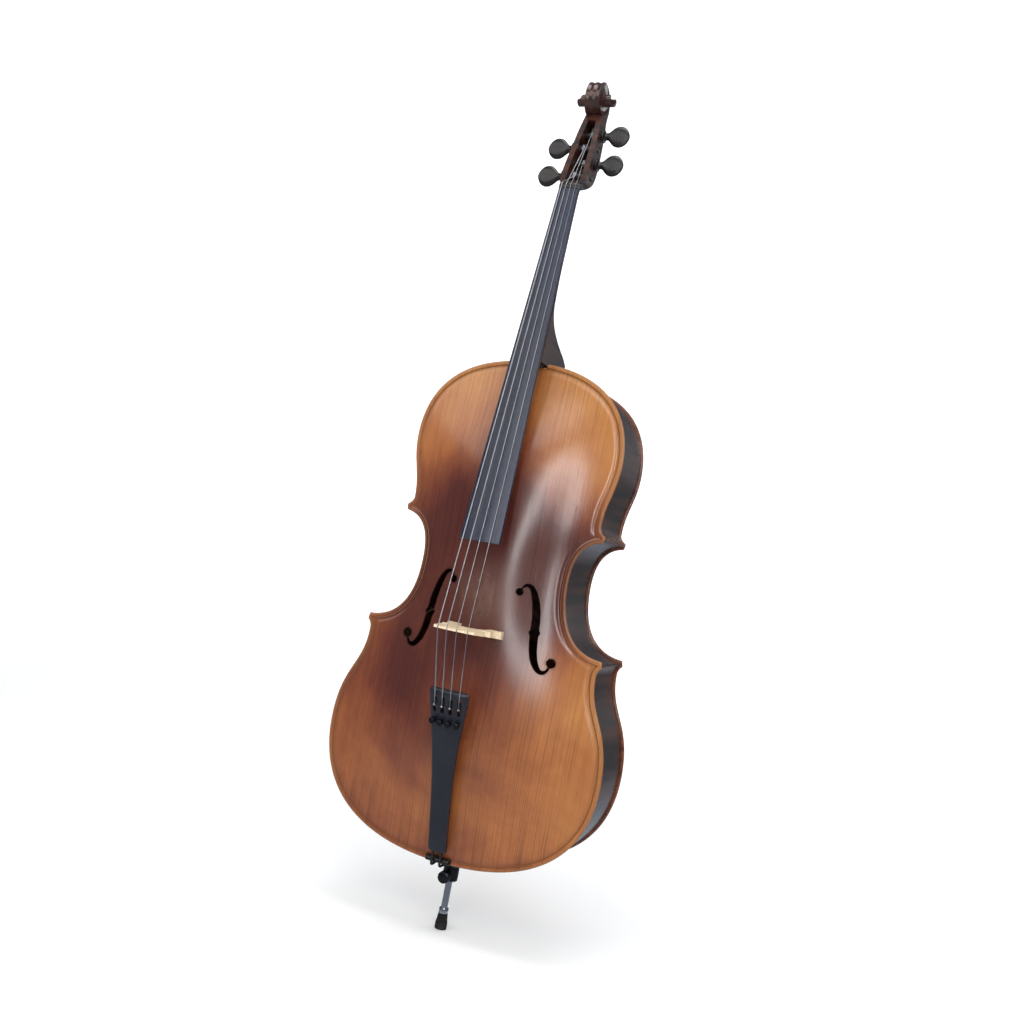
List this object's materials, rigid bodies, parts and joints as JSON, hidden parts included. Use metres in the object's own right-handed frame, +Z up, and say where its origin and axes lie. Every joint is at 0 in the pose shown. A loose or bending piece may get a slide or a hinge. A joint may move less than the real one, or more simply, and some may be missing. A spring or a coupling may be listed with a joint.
{
  "type": "cello",
  "caption": "Full-size bowed string instrument with arched varnished body, f-holes, bridge, tailpiece with fine tuners, black fingerboard, carved scroll and a sliding endpin.",
  "frame": {"origin": "centre of the flat bottom of the endpin's rubber tip", "axes": "+Z up along the instrument to the scroll, -Y out of the front with the strings, +X to the treble side (right when looking at the front)"},
  "size_m": [0.439, 0.2617, 1.3346],
  "materials": {
    "varnished_spruce": "glossy amber to red-brown varnish over spruce",
    "varnished_maple": "glossy dark brown varnish over flamed maple",
    "plain_spruce": "bare",
    "plain_maple": "bare, fine speckle",
    "ebony": "polished black",
    "tailpiece_plastic": "satin black",
    "tailgut_cord": "black cord",
    "tip_rubber": "matt black",
    "dark_metal": "black plated",
    "bright_ring": "polished",
    "string_steel": "wound steel",
    "plain_steel": "satin"
  },
  "bodies": {
    "cello": {"back_plate": "varnished_maple", "bass_bar": "plain_spruce", "block_corner_lower_L": "plain_spruce", "block_corner_lower_R": "plain_spruce", "block_corner_upper_L": "plain_spruce", "block_corner_upper_R": "plain_spruce", "block_lower": "plain_spruce", "block_upper": "plain_spruce", "bridge": "plain_maple", "endpin_collar": "dark_metal", "endpin_plug": "ebony", "fingerboard": "ebony", "lining_c_back_L": "plain_spruce", "lining_c_back_R": "plain_spruce", "lining_c_front_L": "plain_spruce", "lining_c_front_R": "plain_spruce", "lining_lower_back_L": "plain_spruce", "lining_lower_back_R": "plain_spruce", "lining_lower_front_L": "plain_spruce", "lining_lower_front_R": "plain_spruce", "lining_upper_back_L": "plain_spruce", "lining_upper_back_R": "plain_spruce", "lining_upper_front_L": "plain_spruce", "lining_upper_front_R": "plain_spruce", "neck_scroll": "varnished_maple", "nut": "ebony", "rib_c_L": "varnished_maple", "rib_c_R": "varnished_maple", "rib_lower_L": "varnished_maple", "rib_lower_R": "varnished_maple", "rib_upper_L": "varnished_maple", "rib_upper_R": "varnished_maple", "saddle": "ebony", "soundpost": "plain_spruce", "string_a": "string_steel", "string_c": "string_steel", "string_d": "string_steel", "string_g": "string_steel", "tailgut": "tailgut_cord", "tailpiece": "tailpiece_plastic", "top_plate": "varnished_spruce", "tuner_axle": "plain_steel"},
    "peg_c": {"peg_c": "ebony"},
    "peg_a": {"peg_a": "ebony"},
    "peg_g": {"peg_g": "ebony"},
    "peg_d": {"peg_d": "ebony"},
    "endpin": {"endpin_rod": "plain_steel", "endpin_ferrule": "bright_ring", "endpin_tip": "tip_rubber"},
    "thumbscrew": {"endpin_thumbscrew": "dark_metal"},
    "fine_tuner_screw_c": {"tuner_screw_c": "plain_steel"},
    "fine_tuner_lever_c": {"tuner_lever_c": "tailpiece_plastic"},
    "fine_tuner_screw_a": {"tuner_screw_a": "plain_steel"},
    "fine_tuner_lever_a": {"tuner_lever_a": "tailpiece_plastic"},
    "fine_tuner_screw_g": {"tuner_screw_g": "plain_steel"},
    "fine_tuner_lever_g": {"tuner_lever_g": "tailpiece_plastic"},
    "fine_tuner_screw_d": {"tuner_screw_d": "plain_steel"},
    "fine_tuner_lever_d": {"tuner_lever_d": "tailpiece_plastic"}
  },
  "joints": [
    {"name": "peg_c_turn", "type": "hinge", "parent": "cello", "child": "peg_c", "pos_m": [0, -0.01729, 1.173], "axis": [1, 0, 0], "continuous": true},
    {"name": "peg_a_turn", "type": "hinge", "parent": "cello", "child": "peg_a", "pos_m": [0, -0.00954, 1.197], "axis": [1, 0, 0], "continuous": true},
    {"name": "peg_g_turn", "type": "hinge", "parent": "cello", "child": "peg_g", "pos_m": [0, -0.00182, 1.225], "axis": [1, 0, 0], "continuous": true},
    {"name": "peg_d_turn", "type": "hinge", "parent": "cello", "child": "peg_d", "pos_m": [0, 0.00462, 1.25], "axis": [1, 0, 0], "continuous": true},
    {"name": "endpin_slide", "type": "slide", "parent": "cello", "child": "endpin", "axis": [0, 0, -1], "range_m": [-0.042, 0.325]},
    {"name": "thumbscrew_turn", "type": "hinge", "parent": "cello", "child": "thumbscrew", "pos_m": [0, 0, 0.083], "axis": [0, -1, 0], "range_deg": [0, 1080]},
    {"name": "tuner_screw_c_turn", "type": "hinge", "parent": "cello", "child": "fine_tuner_screw_c", "pos_m": [-0.0189, -0.1317, 0.32562], "axis": [0, -0.9591, -0.2829], "range_deg": [0, 1080]},
    {"name": "tuner_lever_c_tilt", "type": "hinge", "parent": "cello", "child": "fine_tuner_lever_c", "pos_m": [-0.0189, -0.13467, 0.35192], "axis": [1, 0, 0], "range_deg": [0, 6.5]},
    {"name": "tuner_screw_a_turn", "type": "hinge", "parent": "cello", "child": "fine_tuner_screw_a", "pos_m": [0.0189, -0.1317, 0.32562], "axis": [0, -0.9591, -0.2829], "range_deg": [0, 1080]},
    {"name": "tuner_lever_a_tilt", "type": "hinge", "parent": "cello", "child": "fine_tuner_lever_a", "pos_m": [0.0189, -0.13467, 0.35192], "axis": [1, 0, 0], "range_deg": [0, 6.5]},
    {"name": "tuner_screw_g_turn", "type": "hinge", "parent": "cello", "child": "fine_tuner_screw_g", "pos_m": [-0.0063, -0.13358, 0.32507], "axis": [0, -0.9591, -0.2829], "range_deg": [0, 1080]},
    {"name": "tuner_lever_g_tilt", "type": "hinge", "parent": "cello", "child": "fine_tuner_lever_g", "pos_m": [-0.0063, -0.13467, 0.35192], "axis": [1, 0, 0], "range_deg": [0, 6.5]},
    {"name": "tuner_screw_d_turn", "type": "hinge", "parent": "cello", "child": "fine_tuner_screw_d", "pos_m": [0.0063, -0.13358, 0.32507], "axis": [0, -0.9591, -0.2829], "range_deg": [0, 1080]},
    {"name": "tuner_lever_d_tilt", "type": "hinge", "parent": "cello", "child": "fine_tuner_lever_d", "pos_m": [0.0063, -0.13467, 0.35192], "axis": [1, 0, 0], "range_deg": [0, 6.5]}
  ],
  "couplings": [
    {"joint": "tuner_lever_c_tilt", "follows": "tuner_screw_c_turn", "ratio": 0.0055},
    {"joint": "tuner_lever_a_tilt", "follows": "tuner_screw_a_turn", "ratio": 0.0055},
    {"joint": "tuner_lever_g_tilt", "follows": "tuner_screw_g_turn", "ratio": 0.0055},
    {"joint": "tuner_lever_d_tilt", "follows": "tuner_screw_d_turn", "ratio": 0.0055}
  ]
}
